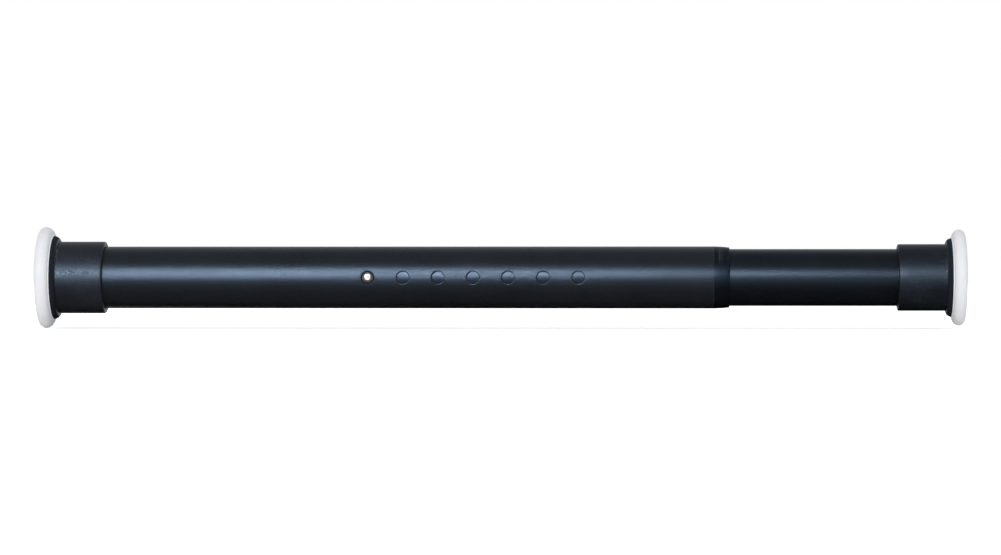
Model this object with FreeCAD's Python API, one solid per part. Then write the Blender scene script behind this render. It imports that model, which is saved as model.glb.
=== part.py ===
"""Spring tension rod: two telescoping tubes with a snap button, and a sprung end.

Millimetres. The rod lies along X. The origin is the centre of the left pad's wall face, +X runs to the
right end, the lock button faces -Y and +Z is up.
"""
import FreeCAD
import Part
import math
import os

V = FreeCAD.Vector
ORIGIN = V(0, 0, 0)
ALONG = V(1, 0, 0)

# Tubes
OUTER_OD = 32.0
OUTER_WALL = 0.7
OUTER_LENGTH = 337.0
TUBE_GAP = 0.65
INNER_WALL = 0.7
INNER_LENGTH = 301.0

# Row of lock holes in the front of the outer tube
FIRST_HOLE = 159.5
HOLE_PITCH = 18.0
HOLE_COUNT = 7
LOCK_HOLE_GAP = 0.5

# Snap button and the hairpin spring that carries it
BUTTON_DIA = 6.0
BUTTON_FIT = 0.08
BUTTON_FROM_END = 25.0
BUTTON_PROUD = 0.6
BUTTON_ROUND = 0.9
BUTTON_SLOPE = 0.3
BUTTON_FLAT_DISH = 0.25
BUTTON_SHOULDER = 1.2
BUTTON_HEAD_THICK = 1.2
BUTTON_STEM_DIA = 3.6
RIVET_RIM = 1.0
RIVET_THICK = 0.8
LEAF_THICK = 0.6
LEAF_WIDTH = 7.0
LEAF_BACK = 7.5
LEAF_BEND = 27.0
LEAF_BEND_RADIUS = 3.2

# Collar in the mouth of the outer tube
COLLAR_SHOWN = 8.0
COLLAR_TAPER = 0.55
COLLAR_SPIGOT = 12.0
COLLAR_ROUND = 0.3

# Running and seating clearances, on the radius or along the rod
RUNNING_FIT = 0.05
SEATED_FIT = 0.05
SLEEVE_FIT = 0.15
LOOSE_FIT = 0.35

# Sockets
SOCKET_FLOOR = 3.0
LEFT_SOCKET_LENGTH = 26.8
LEFT_SOCKET_WALL = 2.4
LEFT_FLANGE_RISE = 2.95
RIGHT_SOCKET_LENGTH = 27.5
RIGHT_SOCKET_WALL = 2.15
RIGHT_FLANGE_RISE = 3.0
BEAD_LENGTH = 2.3
MOUTH_ROUND = 0.5

# Boss on each socket that its pad snaps over, with a pocket for the screw or nut
BOSS_HEIGHT = 4.0
BOSS_WALL = 6.9
BOSS_CATCH = 0.8
BOSS_LIP = 1.8
BOSS_ROUND = 0.5
POCKET_GAP = 0.3
POCKET_DEPTH = 4.4

# Wall pads
LEFT_PAD_THICK = 7.1
LEFT_PAD_OVERHANG = 4.6
RIGHT_PAD_THICK = 6.9
RIGHT_PAD_OVERHANG = 4.45
PAD_FRONT_ROUND = 2.85
PAD_LIP_THICK = 0.75
PAD_LIP_WIDTH = 0.7
PAD_LIP_REACH = 0.15
PAD_VALLEY = 0.2
PAD_GROOVE_FIRST = 8.0
PAD_GROOVE_PITCH = 4.0
PAD_GROOVE_WIDTH = 1.2
PAD_GROOVE_DEPTH = 0.6

# Plugs
PLUG_FLANGE = 1.2
PLUG_WALL = 1.8
PLUG_RIBS = 6
PLUG_RIB_THICK = 1.4
PLUG_RIB_ROOT = 0.5
LEFT_PLUG_DEPTH = 20.0
LEFT_PLUG_FLOOR = 2.4
LEFT_PLUG_BOSS_WALL = 2.2
LEFT_PLUG_BOSS_SHORT = 1.0
INNER_PLUG_DEPTH = 12.0
INNER_PLUG_RIM = 6.0
GUIDE_DEPTH = 22.0
GUIDE_HUB_WALL = 2.6
GUIDE_HUB_PROUD = 2.0

# Screw of the left end
SCREW_DIA = 4.0
SCREW_LENGTH = 16.0
SCREW_HEAD_DIA = 7.6
SCREW_HEAD_HEIGHT = 2.6
SCREW_RECESS_WIDTH = 1.0
SCREW_RECESS_SPAN = 4.2
SCREW_RECESS_DEPTH = 1.4
WASHER_DIA = 12.0
WASHER_THICK = 1.0
HOLE_CLEARANCE = 0.2

# Plunger, its spring and its stops
SPRING_TRAVEL = 18.5
END_CLEARANCE = 0.4
PLUNGER_DIA = 8.0
PLUNGER_THREAD_DIA = 6.0
NUT_THICK = 2.4
THREAD_PROUD = 0.2
NUT_FLATS = 10.0
SEAT_THICK = 12.0
SEAT_HUB = 3.0
SEAT_HUB_FIT = 0.4
SEAT_PIN_DIA = 3.0
SEAT_PIN_FIT = 0.03
SEAT_PIN_INSET = 0.15
SEAT_PIN_STOP = 1.5
SPRING_WIRE = 1.8
SPRING_GAP = 3.45
SPRING_TURNS = 10.0
COIL_GAP = 0.15
ARCS_PER_TURN = 3
SPRING_LENGTH = 62.0
SPRING_WASHER_GAP = 1.75
SPRING_WASHER_THICK = 1.5
CLIP_WALL = 3.2
CLIP_THICK = 1.2
CLIP_GROOVE = 1.0
STOP_RING_WALL = 4.5
STOP_RING_THICK = 2.5
STOP_RING_BULGE = 0.5
STOP_WASHER_THICK = 1.2
ROD_TAIL = 3.0
ROD_CHAMFER = 0.8

# Sizes that follow from those above
outer_r = OUTER_OD / 2
outer_bore = outer_r - OUTER_WALL
inner_r = outer_bore - TUBE_GAP
inner_bore = inner_r - INNER_WALL
left_body_r = outer_r + SLEEVE_FIT + LEFT_SOCKET_WALL
left_flange_r = left_body_r + LEFT_FLANGE_RISE
right_body_r = inner_r + LOOSE_FIT + RIGHT_SOCKET_WALL
right_flange_r = right_body_r + RIGHT_FLANGE_RISE
pocket_r = WASHER_DIA / 2 + POCKET_GAP
boss_neck = pocket_r + BOSS_WALL
boss_r = boss_neck + BOSS_CATCH
plunger_r = PLUNGER_DIA / 2
spring_r = inner_bore - SPRING_GAP - SPRING_WIRE / 2
clip_r = plunger_r + CLIP_WALL
stop_ring_r = plunger_r + STOP_RING_WALL
button_r = BUTTON_DIA / 2
button_head_r = button_r + BUTTON_SHOULDER
rivet_r = BUTTON_STEM_DIA / 2 + RIVET_RIM

# Places along the rod, from the left wall face
left_plane = LEFT_PAD_THICK
outer_left = left_plane + SOCKET_FLOOR + PLUG_FLANGE
outer_right = outer_left + OUTER_LENGTH
collar_mouth = outer_right + COLLAR_SHOWN
button_x = outer_left + FIRST_HOLE
inner_left = button_x - BUTTON_FROM_END
inner_right = inner_left + INNER_LENGTH
right_floor = inner_right + PLUG_FLANGE + END_CLEARANCE + SPRING_TRAVEL
right_plane = right_floor + SOCKET_FLOOR
right_wall = right_plane + RIGHT_PAD_THICK
guide_inner = inner_right - GUIDE_DEPTH
sprung_clip = guide_inner - CLIP_THICK - END_CLEARANCE
sprung_washer = sprung_clip - SPRING_WASHER_THICK
spring_right = sprung_washer
spring_left = spring_right - SPRING_LENGTH
seat_left = spring_left - SEAT_THICK
stop_ring = seat_left - STOP_RING_THICK
stop_washer = stop_ring - STOP_WASHER_THICK
stop_clip = stop_washer - CLIP_THICK
rod_left = stop_clip - ROD_TAIL


def outline_edges(path):
    """Edges through path, a closed outline of (x, r) points; an arc gives (x, r, x_mid, r_mid)."""
    edges = []
    here = V(path[-1][0], path[-1][1], 0)
    for point in path:
        there = V(point[0], point[1], 0)
        if (there - here).Length < 1e-7:
            continue
        if len(point) == 4:
            edges.append(Part.Arc(here, V(point[2], point[3], 0), there).toShape())
        else:
            edges.append(Part.LineSegment(here, there).toShape())
        here = there
    return edges


def turned(path):
    """Solid turned about the rod's axis from an outline in (x, r)."""
    return Part.Face(Part.Wire(outline_edges(path))).revolve(ORIGIN, ALONG, 360)


def at_end(path, plane, side):
    """An outline drawn from a flange plane outwards along the socket, placed at one end of the rod."""
    placed = []
    for point in path:
        placed.append(tuple(plane + side * v if k % 2 == 0 else v for k, v in enumerate(point)))
    return placed


def rod(radius, left, right):
    return Part.makeCylinder(radius, right - left, V(left, 0, 0), ALONG)


def tube(radius, bore, left, right):
    return rod(radius, left, right).cut(rod(bore, left - 1, right + 1))


def drill(dia, x, depth_from, depth_to):
    """Round cutter along Y at a place on the rod."""
    return Part.makeCylinder(dia / 2, depth_to - depth_from, V(x, depth_from, 0), V(0, 1, 0))


def quarter(x0, r0, x1, r1):
    """End point and middle point of a quarter ellipse that leaves (x0, r0) along the rod."""
    s = math.sqrt(0.5)
    return (x1, r1, x0 + (x1 - x0) * s, r1 + (r0 - r1) * s)


def outer_tube():
    body = tube(outer_r, outer_bore, outer_left, outer_right)
    holes = [drill(BUTTON_DIA + 2 * LOCK_HOLE_GAP, button_x + k * HOLE_PITCH, -outer_r - 1, 0) for k in range(HOLE_COUNT)]
    return body.cut(Part.makeCompound(holes))


def inner_tube():
    body = tube(inner_r, inner_bore, inner_left, inner_right)
    button_hole = drill(BUTTON_DIA + 2 * BUTTON_FIT, button_x, -inner_r - 1, 0)
    pin_hole = seat_pin_shape(SEAT_PIN_FIT, inner_r + 1)
    return body.cut(Part.makeCompound([button_hole, pin_hole]))


def tube_collar():
    bore = inner_r + RUNNING_FIT
    spigot = outer_bore - SEATED_FIT
    mouth = outer_r - COLLAR_TAPER
    inside_end = outer_right - COLLAR_SPIGOT
    return turned([
        (inside_end, bore),
        (inside_end, spigot),
        (outer_right, spigot),
        (outer_right, outer_r),
        (collar_mouth - COLLAR_ROUND, mouth, (outer_right + collar_mouth - COLLAR_ROUND) / 2,
         outer_r - COLLAR_TAPER * 0.27),
        (collar_mouth, mouth - COLLAR_ROUND, collar_mouth - COLLAR_ROUND * 0.3, mouth - COLLAR_ROUND * 0.3),
        (collar_mouth, bore),
    ])


def socket(plane, side, body_r, flange_r, cup_r, length, hole_r):
    """Cup with a bead flange, and on its back the boss that the pad snaps over."""
    pocket_floor = -BOSS_HEIGHT + POCKET_DEPTH
    path = [
        (pocket_floor, hole_r),
        (pocket_floor, pocket_r),
        (-BOSS_HEIGHT, pocket_r),
        (-BOSS_HEIGHT, boss_r - BOSS_ROUND),
        (-BOSS_HEIGHT + BOSS_ROUND, boss_r,
         -BOSS_HEIGHT + BOSS_ROUND * 0.3, boss_r - BOSS_ROUND * 0.3),
        (-BOSS_HEIGHT + BOSS_LIP, boss_r),
        (-BOSS_HEIGHT + BOSS_LIP, boss_neck),
        (0, boss_neck),
        (0, flange_r),
        quarter(0, flange_r, BEAD_LENGTH, body_r),
        (length - MOUTH_ROUND, body_r),
        (length, body_r - MOUTH_ROUND, length - MOUTH_ROUND * 0.3, body_r - MOUTH_ROUND * 0.3),
        (length, cup_r),
        (SOCKET_FLOOR, cup_r),
        (SOCKET_FLOOR, hole_r),
    ]
    return turned(at_end(path, plane, side))


def left_socket():
    hole = SCREW_DIA / 2 + HOLE_CLEARANCE
    cup = outer_r + SLEEVE_FIT
    return socket(left_plane, 1, left_body_r, left_flange_r, cup, LEFT_SOCKET_LENGTH, hole)


def right_socket():
    hole = PLUNGER_THREAD_DIA / 2 + HOLE_CLEARANCE
    cup = inner_r + LOOSE_FIT
    return socket(right_plane, -1, right_body_r, right_flange_r, cup, RIGHT_SOCKET_LENGTH, hole)


def wall_pad(plane, side, thick, pad_r, flange_r):
    """Disc with a full-round rim, a lip round the flange, a snap recess and grooves in its wall face."""
    face = -thick
    lip_in = flange_r + SEATED_FIT
    lip_out = lip_in + PAD_LIP_THICK
    lip_round = PAD_LIP_THICK * 0.4
    lip_back = PAD_LIP_REACH - PAD_LIP_WIDTH
    recess = -BOSS_HEIGHT - SEATED_FIT
    neck = boss_neck + SEATED_FIT
    undercut = -BOSS_HEIGHT + BOSS_LIP + SEATED_FIT
    path = [(face, 0)]
    flat_width = pad_r - PAD_FRONT_ROUND - PAD_GROOVE_FIRST - PAD_GROOVE_WIDTH
    for k in range(int(flat_width / PAD_GROOVE_PITCH) + 1):
        radius = PAD_GROOVE_FIRST + k * PAD_GROOVE_PITCH
        path.append((face, radius))
        middle = radius + PAD_GROOVE_WIDTH / 2
        path.append((face, radius + PAD_GROOVE_WIDTH, face + PAD_GROOVE_DEPTH, middle))
    # The back of the rim is one arc that leaves the front round's crest level and falls to the valley
    crest_x = face + PAD_FRONT_ROUND
    front_r = pad_r - PAD_FRONT_ROUND
    half = PAD_FRONT_ROUND * math.sqrt(0.5)
    reach, fall = lip_back - crest_x, pad_r - lip_out - PAD_VALLEY
    back_round = (reach ** 2 + fall ** 2) / (2 * fall)
    middle = math.atan2(reach, back_round - fall) / 2
    path += [
        (face, front_r),
        (crest_x, pad_r, crest_x - half, front_r + half),
        (lip_back, pad_r - fall, crest_x + back_round * math.sin(middle),
         pad_r - back_round * (1 - math.cos(middle))),
        (lip_back + PAD_VALLEY, lip_out, lip_back + PAD_VALLEY * 0.3, lip_out + PAD_VALLEY * 0.3),
        (PAD_LIP_REACH - lip_round, lip_out),
        (PAD_LIP_REACH, lip_out - lip_round, PAD_LIP_REACH - lip_round * 0.3, lip_out - lip_round * 0.3),
        (PAD_LIP_REACH, lip_in),
        (0, lip_in),
        (0, neck),
        (undercut, neck),
        (undercut, boss_r + SEATED_FIT),
        (recess, boss_r + SEATED_FIT),
        (recess, 0),
    ]
    return turned(at_end(path, plane, side))


def left_pad():
    return wall_pad(left_plane, 1, LEFT_PAD_THICK, left_flange_r + LEFT_PAD_OVERHANG, left_flange_r)


def right_pad():
    return wall_pad(right_plane, -1, RIGHT_PAD_THICK, right_flange_r + RIGHT_PAD_OVERHANG, right_flange_r)


def rib(x0, x1, r0, r1, angle):
    """Radial rib between two radii, at an angle about the rod."""
    box = Part.makeBox(x1 - x0, PLUG_RIB_THICK, r1 - r0, V(x0, -PLUG_RIB_THICK / 2, r0))
    return box.rotate(ORIGIN, ALONG, angle)


def ribbed(body, x0, x1, r0, r1):
    for k in range(PLUG_RIBS):
        body = body.fuse(rib(x0, x1, r0, r1, (k + 0.5) * 360 / PLUG_RIBS))
    return body.removeSplitter()


def left_end_plug():
    """Moulded plug in the end of the outer tube, with a screw boss held by ribs."""
    skin = outer_bore - SEATED_FIT
    left = outer_left - PLUG_FLANGE
    floor = outer_left + LEFT_PLUG_FLOOR
    right = outer_left + LEFT_PLUG_DEPTH
    pilot = SCREW_DIA / 2 + RUNNING_FIT
    boss = pilot + LEFT_PLUG_BOSS_WALL
    body = turned([
        (left, pilot),
        (left, outer_r),
        (outer_left, outer_r),
        (outer_left, skin),
        (right - ROD_CHAMFER, skin),
        (right, skin - ROD_CHAMFER),
        (right, skin - PLUG_WALL),
        (floor, skin - PLUG_WALL),
        (floor, boss),
        (right - LEFT_PLUG_BOSS_SHORT, boss),
        (right - LEFT_PLUG_BOSS_SHORT, pilot),
    ])
    return ribbed(body, floor - PLUG_RIB_ROOT, right - 2 * LEFT_PLUG_BOSS_SHORT, boss - PLUG_RIB_ROOT, skin - PLUG_WALL / 2)


def left_washer():
    left = left_plane - BOSS_HEIGHT + POCKET_DEPTH - WASHER_THICK
    return tube(WASHER_DIA / 2, SCREW_DIA / 2 + HOLE_CLEARANCE, left, left + WASHER_THICK)


def left_screw():
    """Pan-head screw through the socket's floor into the plug; the thread's form is left out."""
    under = left_plane - BOSS_HEIGHT + POCKET_DEPTH - WASHER_THICK
    top = under - SCREW_HEAD_HEIGHT
    head = SCREW_HEAD_DIA / 2
    tip = under + SCREW_LENGTH
    shank = SCREW_DIA / 2
    body = turned([
        (top, 0),
        (top, head * 0.6),
        (under - SCREW_HEAD_HEIGHT * 0.45, head, top + SCREW_HEAD_HEIGHT * 0.12, head * 0.88),
        (under, head),
        (under, shank),
        (tip - shank, shank),
        (tip, 0.4),
        (tip, 0),
    ])
    half = SCREW_RECESS_SPAN / 2
    slot = Part.makeBox(SCREW_RECESS_DEPTH, SCREW_RECESS_SPAN, SCREW_RECESS_WIDTH,
                        V(top, -half, -SCREW_RECESS_WIDTH / 2))
    cross = slot.fuse(slot.copy().rotate(ORIGIN, ALONG, 90))
    return body.cut(cross)


def inner_end_plug():
    """Flanged plug that centres the inner tube's left end in the outer tube."""
    skin = inner_bore - SEATED_FIT
    flange = outer_bore - RUNNING_FIT
    bore = inner_bore - INNER_PLUG_RIM
    left = inner_left - PLUG_FLANGE
    right = inner_left + INNER_PLUG_DEPTH
    return turned([
        (left, bore),
        (left, flange - 0.4),
        (left + 0.4, flange),
        (inner_left, flange),
        (inner_left, skin),
        (right - ROD_CHAMFER, skin),
        (right, skin - ROD_CHAMFER),
        (right, skin - PLUG_WALL),
        (inner_left + PLUG_WALL, skin - PLUG_WALL),
        (inner_left + PLUG_WALL, bore),
    ])


def chord_depth(radius, half_width):
    return math.sqrt(radius * radius - half_width * half_width)


def button_levels():
    """Distances of the button's faces from the rod's axis, from the outside in."""
    top = outer_r + BUTTON_PROUD
    head = chord_depth(inner_bore, button_head_r) - SEATED_FIT
    leaf = head - BUTTON_HEAD_THICK
    rivet = leaf - LEAF_THICK
    return top, head, leaf, rivet, rivet - RIVET_THICK


def lock_button():
    """Domed pin with a shoulder inside the inner tube and a stem riveted through the leaf spring."""
    top, head, leaf, rivet, end = button_levels()
    flat = button_r - BUTTON_ROUND - BUTTON_SLOPE
    path = [
        (top - BUTTON_FLAT_DISH, 0),
        (top, flat * 0.35, top - BUTTON_FLAT_DISH * 0.8, flat * 0.25),
        (top, flat),
        (top - BUTTON_ROUND, button_r, top - BUTTON_ROUND * 0.25, button_r - BUTTON_ROUND * 0.3),
        (head, button_r),
        (head, button_head_r),
        (leaf, button_head_r),
        (leaf, BUTTON_STEM_DIA / 2),
        (rivet, BUTTON_STEM_DIA / 2),
        (rivet, rivet_r),
        (end, rivet_r - RIVET_RIM / 2, end + RIVET_THICK * 0.3, rivet_r - RIVET_RIM * 0.15),
        (end, 0),
    ]
    body = turned(path)
    body.rotate(ORIGIN, V(0, 0, 1), -90)
    body.translate(V(button_x, 0, 0))
    return body


def button_spring():
    """Hairpin of flat strip: one leg carries the button, the other lies on the tube's back wall."""
    rivet = -button_levels()[3]
    upper = rivet - LEAF_THICK
    lower = chord_depth(inner_bore, LEAF_WIDTH / 2) - SEATED_FIT
    middle = (upper + lower) / 2
    bend_x = button_x + LEAF_BEND
    flat_end = button_x + button_head_r + LEAF_THICK
    start = button_x - LEAF_BACK
    r_out = LEAF_BEND_RADIUS
    r_in = LEAF_BEND_RADIUS - LEAF_THICK
    points = [
        V(start, upper, 0),
        V(flat_end, upper, 0),
        V(bend_x, middle - r_out, 0),
        V(bend_x + r_out, middle, 0),
        V(bend_x, middle + r_out, 0),
        V(flat_end, lower, 0),
        V(start, lower, 0),
        V(start, lower - LEAF_THICK, 0),
        V(flat_end, lower - LEAF_THICK, 0),
        V(bend_x, middle + r_in, 0),
        V(bend_x + r_in, middle, 0),
        V(bend_x, middle - r_in, 0),
        V(flat_end, rivet, 0),
        V(start, rivet, 0),
    ]
    edges = []
    arcs = {2: 3, 9: 10}
    k = 0
    while k < len(points):
        here = points[k]
        if k in arcs:
            there = points[k + 2]
            edges.append(Part.Arc(here, points[k + 1], there).toShape())
            k += 2
        else:
            there = points[(k + 1) % len(points)]
            edges.append(Part.LineSegment(here, there).toShape())
            k += 1
    strip = Part.Face(Part.Wire(edges)).extrude(V(0, 0, LEAF_WIDTH))
    strip.translate(V(0, 0, -LEAF_WIDTH / 2))
    stem_hole = drill(BUTTON_STEM_DIA + 2 * RUNNING_FIT, button_x, upper - 1, rivet + 1)
    return strip.cut(stem_hole)


def plunger_guide():
    """Ribbed plug in the inner tube's right end, with the hub that the plunger rod slides in."""
    skin = inner_bore - SEATED_FIT
    bore = plunger_r + RUNNING_FIT
    hub = bore + GUIDE_HUB_WALL
    right = inner_right + PLUG_FLANGE
    floor = right - PLUG_FLANGE - PLUG_WALL
    skirt = guide_inner + GUIDE_HUB_PROUD
    body = turned([
        (guide_inner, bore),
        (guide_inner, hub),
        (floor, hub),
        (floor, skin - PLUG_WALL),
        (skirt, skin - PLUG_WALL),
        (skirt, skin - ROD_CHAMFER),
        (skirt + ROD_CHAMFER, skin),
        (inner_right, skin),
        (inner_right, inner_r),
        (right, inner_r),
        (right, bore),
    ])
    return ribbed(body, skirt + ROD_CHAMFER, floor + PLUG_RIB_ROOT, hub - PLUG_RIB_ROOT, skin - PLUG_WALL / 2)


def seat_pin_shape(gap, half_length):
    x = seat_left + SEAT_THICK / 2
    radius = SEAT_PIN_DIA / 2 + gap
    return Part.makeCylinder(radius, 2 * half_length, V(x, 0, -half_length), V(0, 0, 1))


def spring_seat():
    """Fixed block in the inner tube that the spring pushes on; a split cross pin holds it."""
    skin = inner_bore - SEATED_FIT
    body = tube(skin, plunger_r + RUNNING_FIT, seat_left, spring_left)
    body = body.cut(seat_pin_shape(SEAT_PIN_FIT, inner_r))
    locating = tube(spring_r - SPRING_WIRE / 2 - SEAT_HUB_FIT, plunger_r + RUNNING_FIT,
                    spring_left, spring_left + SEAT_HUB)
    return body.fuse(locating).removeSplitter()


def seat_pins():
    """Two short pins, one from each side, that leave the plunger's bore free."""
    whole = seat_pin_shape(0, inner_r - SEAT_PIN_INSET)
    bore = rod(plunger_r + SEAT_PIN_STOP, seat_left, spring_left)
    return Part.makeCompound(whole.cut(bore).Solids)


def coil_point(turn):
    """Centre of the spring's wire after so many turns: closed end turns and an even lead between them."""
    closed = SPRING_WIRE + COIL_GAP
    open_turns = SPRING_TURNS - 2
    lead = (SPRING_LENGTH - 2 * closed) / open_turns
    x = closed * min(turn, 1) + lead * min(max(turn - 1, 0), open_turns)
    x += closed * max(turn - 1 - open_turns, 0)
    angle = 2 * math.pi * turn
    return V(spring_left + x, spring_r * math.cos(angle), spring_r * math.sin(angle))


def coil_heading(turn):
    step = 0.01
    return (coil_point(turn + step) - coil_point(turn - step)).normalize()


def arc_leaving(start, heading, end):
    """Arc that leaves start along heading and reaches end, and its heading there."""
    chord = (end - start).normalize()
    cosine = min(1.0, chord.dot(heading))
    side = (heading - chord * cosine).normalize()
    rise = (end - start).Length / 2 * math.tan(math.acos(cosine) / 2)
    middle = (start + end) / 2 + side * rise
    return Part.Arc(start, middle, end).toShape(), chord * (2 * cosine) - heading


def tangent_arcs(start, heading, end, end_heading):
    """Two arcs, tangent to each other, from start to end along the given headings."""
    span = end - start
    spread = 2 * (1 - heading.dot(end_heading))
    along = span.dot(heading + end_heading)
    reach = (math.sqrt(along * along + spread * span.dot(span)) - along) / spread
    joint = (start + end + (heading - end_heading) * reach) / 2
    first, joint_heading = arc_leaving(start, heading, joint)
    second = arc_leaving(joint, joint_heading, end)[0]
    return [first, second]


def compression_spring():
    """Round wire coiled as tangent arcs, with closed end turns ground flat."""
    steps = int(round(SPRING_TURNS * ARCS_PER_TURN))
    edges = []
    for k in range(steps):
        a = SPRING_TURNS * k / steps
        b = SPRING_TURNS * (k + 1) / steps
        edges += tangent_arcs(coil_point(a), coil_heading(a), coil_point(b), coil_heading(b))
    ring = Part.Wire(Part.Circle(coil_point(0), coil_heading(0), SPRING_WIRE / 2).toShape())
    coil = Part.Wire(edges).makePipe(Part.Face(ring))
    return coil.common(rod(spring_r + SPRING_WIRE, spring_left, spring_right))


def spring_washer():
    return tube(inner_bore - SPRING_WASHER_GAP, plunger_r + RUNNING_FIT, sprung_washer, sprung_clip)


def retaining_clip(left):
    """Open retaining ring with three prongs that sit in the rod's groove."""
    neck = plunger_r - CLIP_GROOVE + RUNNING_FIT
    right = left + CLIP_THICK
    ring = tube(clip_r, neck, left, right)
    mouth = Part.makeBox(CLIP_THICK, 2 * neck, clip_r + 1, V(left, -neck, -clip_r - 1))
    ring = ring.cut(mouth)
    for angle in (60, -60):
        relief = Part.makeCylinder(CLIP_WALL / 2, CLIP_THICK, V(left, 0, neck + CLIP_WALL * 0.3), ALONG)
        ring = ring.cut(relief.rotate(ORIGIN, ALONG, angle))
    return ring


def stop_ring_shape():
    bore = plunger_r + RUNNING_FIT
    r = stop_ring_r
    bulge = r - STOP_RING_BULGE
    return turned([
        (stop_ring, bore),
        (stop_ring, bulge),
        (seat_left, bulge, (stop_ring + seat_left) / 2, r),
        (seat_left, bore),
    ])


def stop_washer_shape():
    return tube(stop_ring_r, plunger_r + RUNNING_FIT, stop_washer, stop_ring)


def plunger_rod():
    """Steel rod with a clip groove near each end of the spring and a reduced end for the nut."""
    groove = plunger_r - CLIP_GROOVE
    thread = PLUNGER_THREAD_DIA / 2
    tip = right_plane + BOSS_HEIGHT - POCKET_DEPTH + WASHER_THICK + NUT_THICK + THREAD_PROUD
    return turned([
        (rod_left, 0),
        (rod_left, plunger_r - ROD_CHAMFER),
        (rod_left + ROD_CHAMFER, plunger_r),
        (stop_clip, plunger_r),
        (stop_clip, groove),
        (stop_clip + CLIP_THICK, groove),
        (stop_clip + CLIP_THICK, plunger_r),
        (sprung_clip, plunger_r),
        (sprung_clip, groove),
        (sprung_clip + CLIP_THICK, groove),
        (sprung_clip + CLIP_THICK, plunger_r),
        (right_floor, plunger_r),
        (right_floor, thread),
        (tip - ROD_CHAMFER, thread),
        (tip, thread - ROD_CHAMFER),
        (tip, 0),
    ])


def plunger_washer():
    right = right_plane + BOSS_HEIGHT - POCKET_DEPTH + WASHER_THICK
    return tube(WASHER_DIA / 2, PLUNGER_THREAD_DIA / 2 + HOLE_CLEARANCE, right - WASHER_THICK, right)


def plunger_nut():
    """Thin hexagon nut with chamfered corners."""
    left = right_plane + BOSS_HEIGHT - POCKET_DEPTH + WASHER_THICK
    right = left + NUT_THICK
    corner = NUT_FLATS / math.sqrt(3)
    ring = [V(left, corner * math.cos(math.radians(60 * k)), corner * math.sin(math.radians(60 * k)))
            for k in range(7)]
    prism = Part.Face(Part.makePolygon(ring)).extrude(V(NUT_THICK, 0, 0))
    flat = NUT_FLATS / 2
    dome = turned([
        (left, 0),
        (left, corner),
        (right - (corner - flat) * 0.6, corner),
        (right, flat),
        (right, 0),
    ])
    return prism.common(dome).cut(rod(PLUNGER_THREAD_DIA / 2 + RUNNING_FIT, left - 1, right + 1))


def retaining_clips():
    return Part.makeCompound([retaining_clip(sprung_clip), retaining_clip(stop_clip)])


def pieces():
    return {
        "outer_tube": outer_tube(),
        "tube_collar": tube_collar(),
        "left_socket": left_socket(),
        "left_pad": left_pad(),
        "left_end_plug": left_end_plug(),
        "left_screw": left_screw(),
        "left_washer": left_washer(),
        "inner_tube": inner_tube(),
        "inner_end_plug": inner_end_plug(),
        "lock_button": lock_button(),
        "button_spring": button_spring(),
        "plunger_guide": plunger_guide(),
        "spring_seat": spring_seat(),
        "seat_pins": seat_pins(),
        "compression_spring": compression_spring(),
        "spring_washer": spring_washer(),
        "retaining_clips": retaining_clips(),
        "stop_ring": stop_ring_shape(),
        "stop_washer": stop_washer_shape(),
        "plunger_rod": plunger_rod(),
        "right_socket": right_socket(),
        "right_pad": right_pad(),
        "plunger_washer": plunger_washer(),
        "plunger_nut": plunger_nut(),
    }


os.makedirs("parts", exist_ok=True)
for name, shape in pieces().items():
    solid = shape.Solids[0] if len(shape.Solids) == 1 else shape
    print(name, len(shape.Solids), "valid" if shape.isValid() else "NOT VALID", round(shape.Volume, 1))
    solid.exportStep("parts/" + name + ".step")
print("length", round(right_wall, 2), "socket mouth to collar mouth",
      round(right_plane - RIGHT_SOCKET_LENGTH - collar_mouth, 2))
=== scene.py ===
"""Spring tension rod: looks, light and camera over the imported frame."""
import bpy
import bmesh
import math
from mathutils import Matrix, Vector


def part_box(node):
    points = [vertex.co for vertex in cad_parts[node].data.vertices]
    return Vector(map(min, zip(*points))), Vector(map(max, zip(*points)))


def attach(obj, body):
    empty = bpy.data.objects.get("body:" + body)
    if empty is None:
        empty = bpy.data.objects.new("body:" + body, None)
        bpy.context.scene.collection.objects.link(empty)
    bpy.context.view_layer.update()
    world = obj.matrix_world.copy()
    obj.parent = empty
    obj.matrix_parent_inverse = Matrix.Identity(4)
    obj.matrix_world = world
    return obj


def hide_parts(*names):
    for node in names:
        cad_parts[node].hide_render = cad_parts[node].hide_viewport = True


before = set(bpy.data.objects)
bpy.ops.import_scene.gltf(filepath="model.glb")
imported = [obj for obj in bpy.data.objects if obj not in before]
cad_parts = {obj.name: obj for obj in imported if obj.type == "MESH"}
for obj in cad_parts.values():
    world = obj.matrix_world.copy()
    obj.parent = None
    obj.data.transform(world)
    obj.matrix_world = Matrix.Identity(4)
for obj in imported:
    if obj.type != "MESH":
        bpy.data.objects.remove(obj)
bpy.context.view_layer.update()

MM = 0.001


# Sizes and places, in millimetres along the rod or out from its axis

def span(node):
    """Where a node starts and ends along the rod, to a thousandth of a millimetre."""
    low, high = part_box(node)
    return round(low.x / MM, 3), round(high.x / MM, 3)


def outer_radius(node):
    """How far a node reaches from the rod's axis, to a hundredth of a millimetre."""
    low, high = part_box(node)
    return round(max(high.y, high.z, -low.y, -low.z) / MM, 2)


LENGTH = span("right_pad")[1]
TUBE_LEFT, TUBE_END = span("outer_tube")
INNER_LEFT, INNER_RIGHT = span("inner_tube")
COLLAR_LEFT, COLLAR_MOUTH = span("tube_collar")
OUTER_R = outer_radius("outer_tube")
INNER_R = outer_radius("inner_tube")

# Thickness of both tubes, and the gap between pieces that fit each other
TUBE_WALL = 0.7
FIT = 0.05
OUTER_BORE = OUTER_R - TUBE_WALL
INNER_BORE = INNER_R - TUBE_WALL
SLEEVE_R = OUTER_BORE - FIT
COLLAR_BORE = INNER_R + FIT

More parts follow.
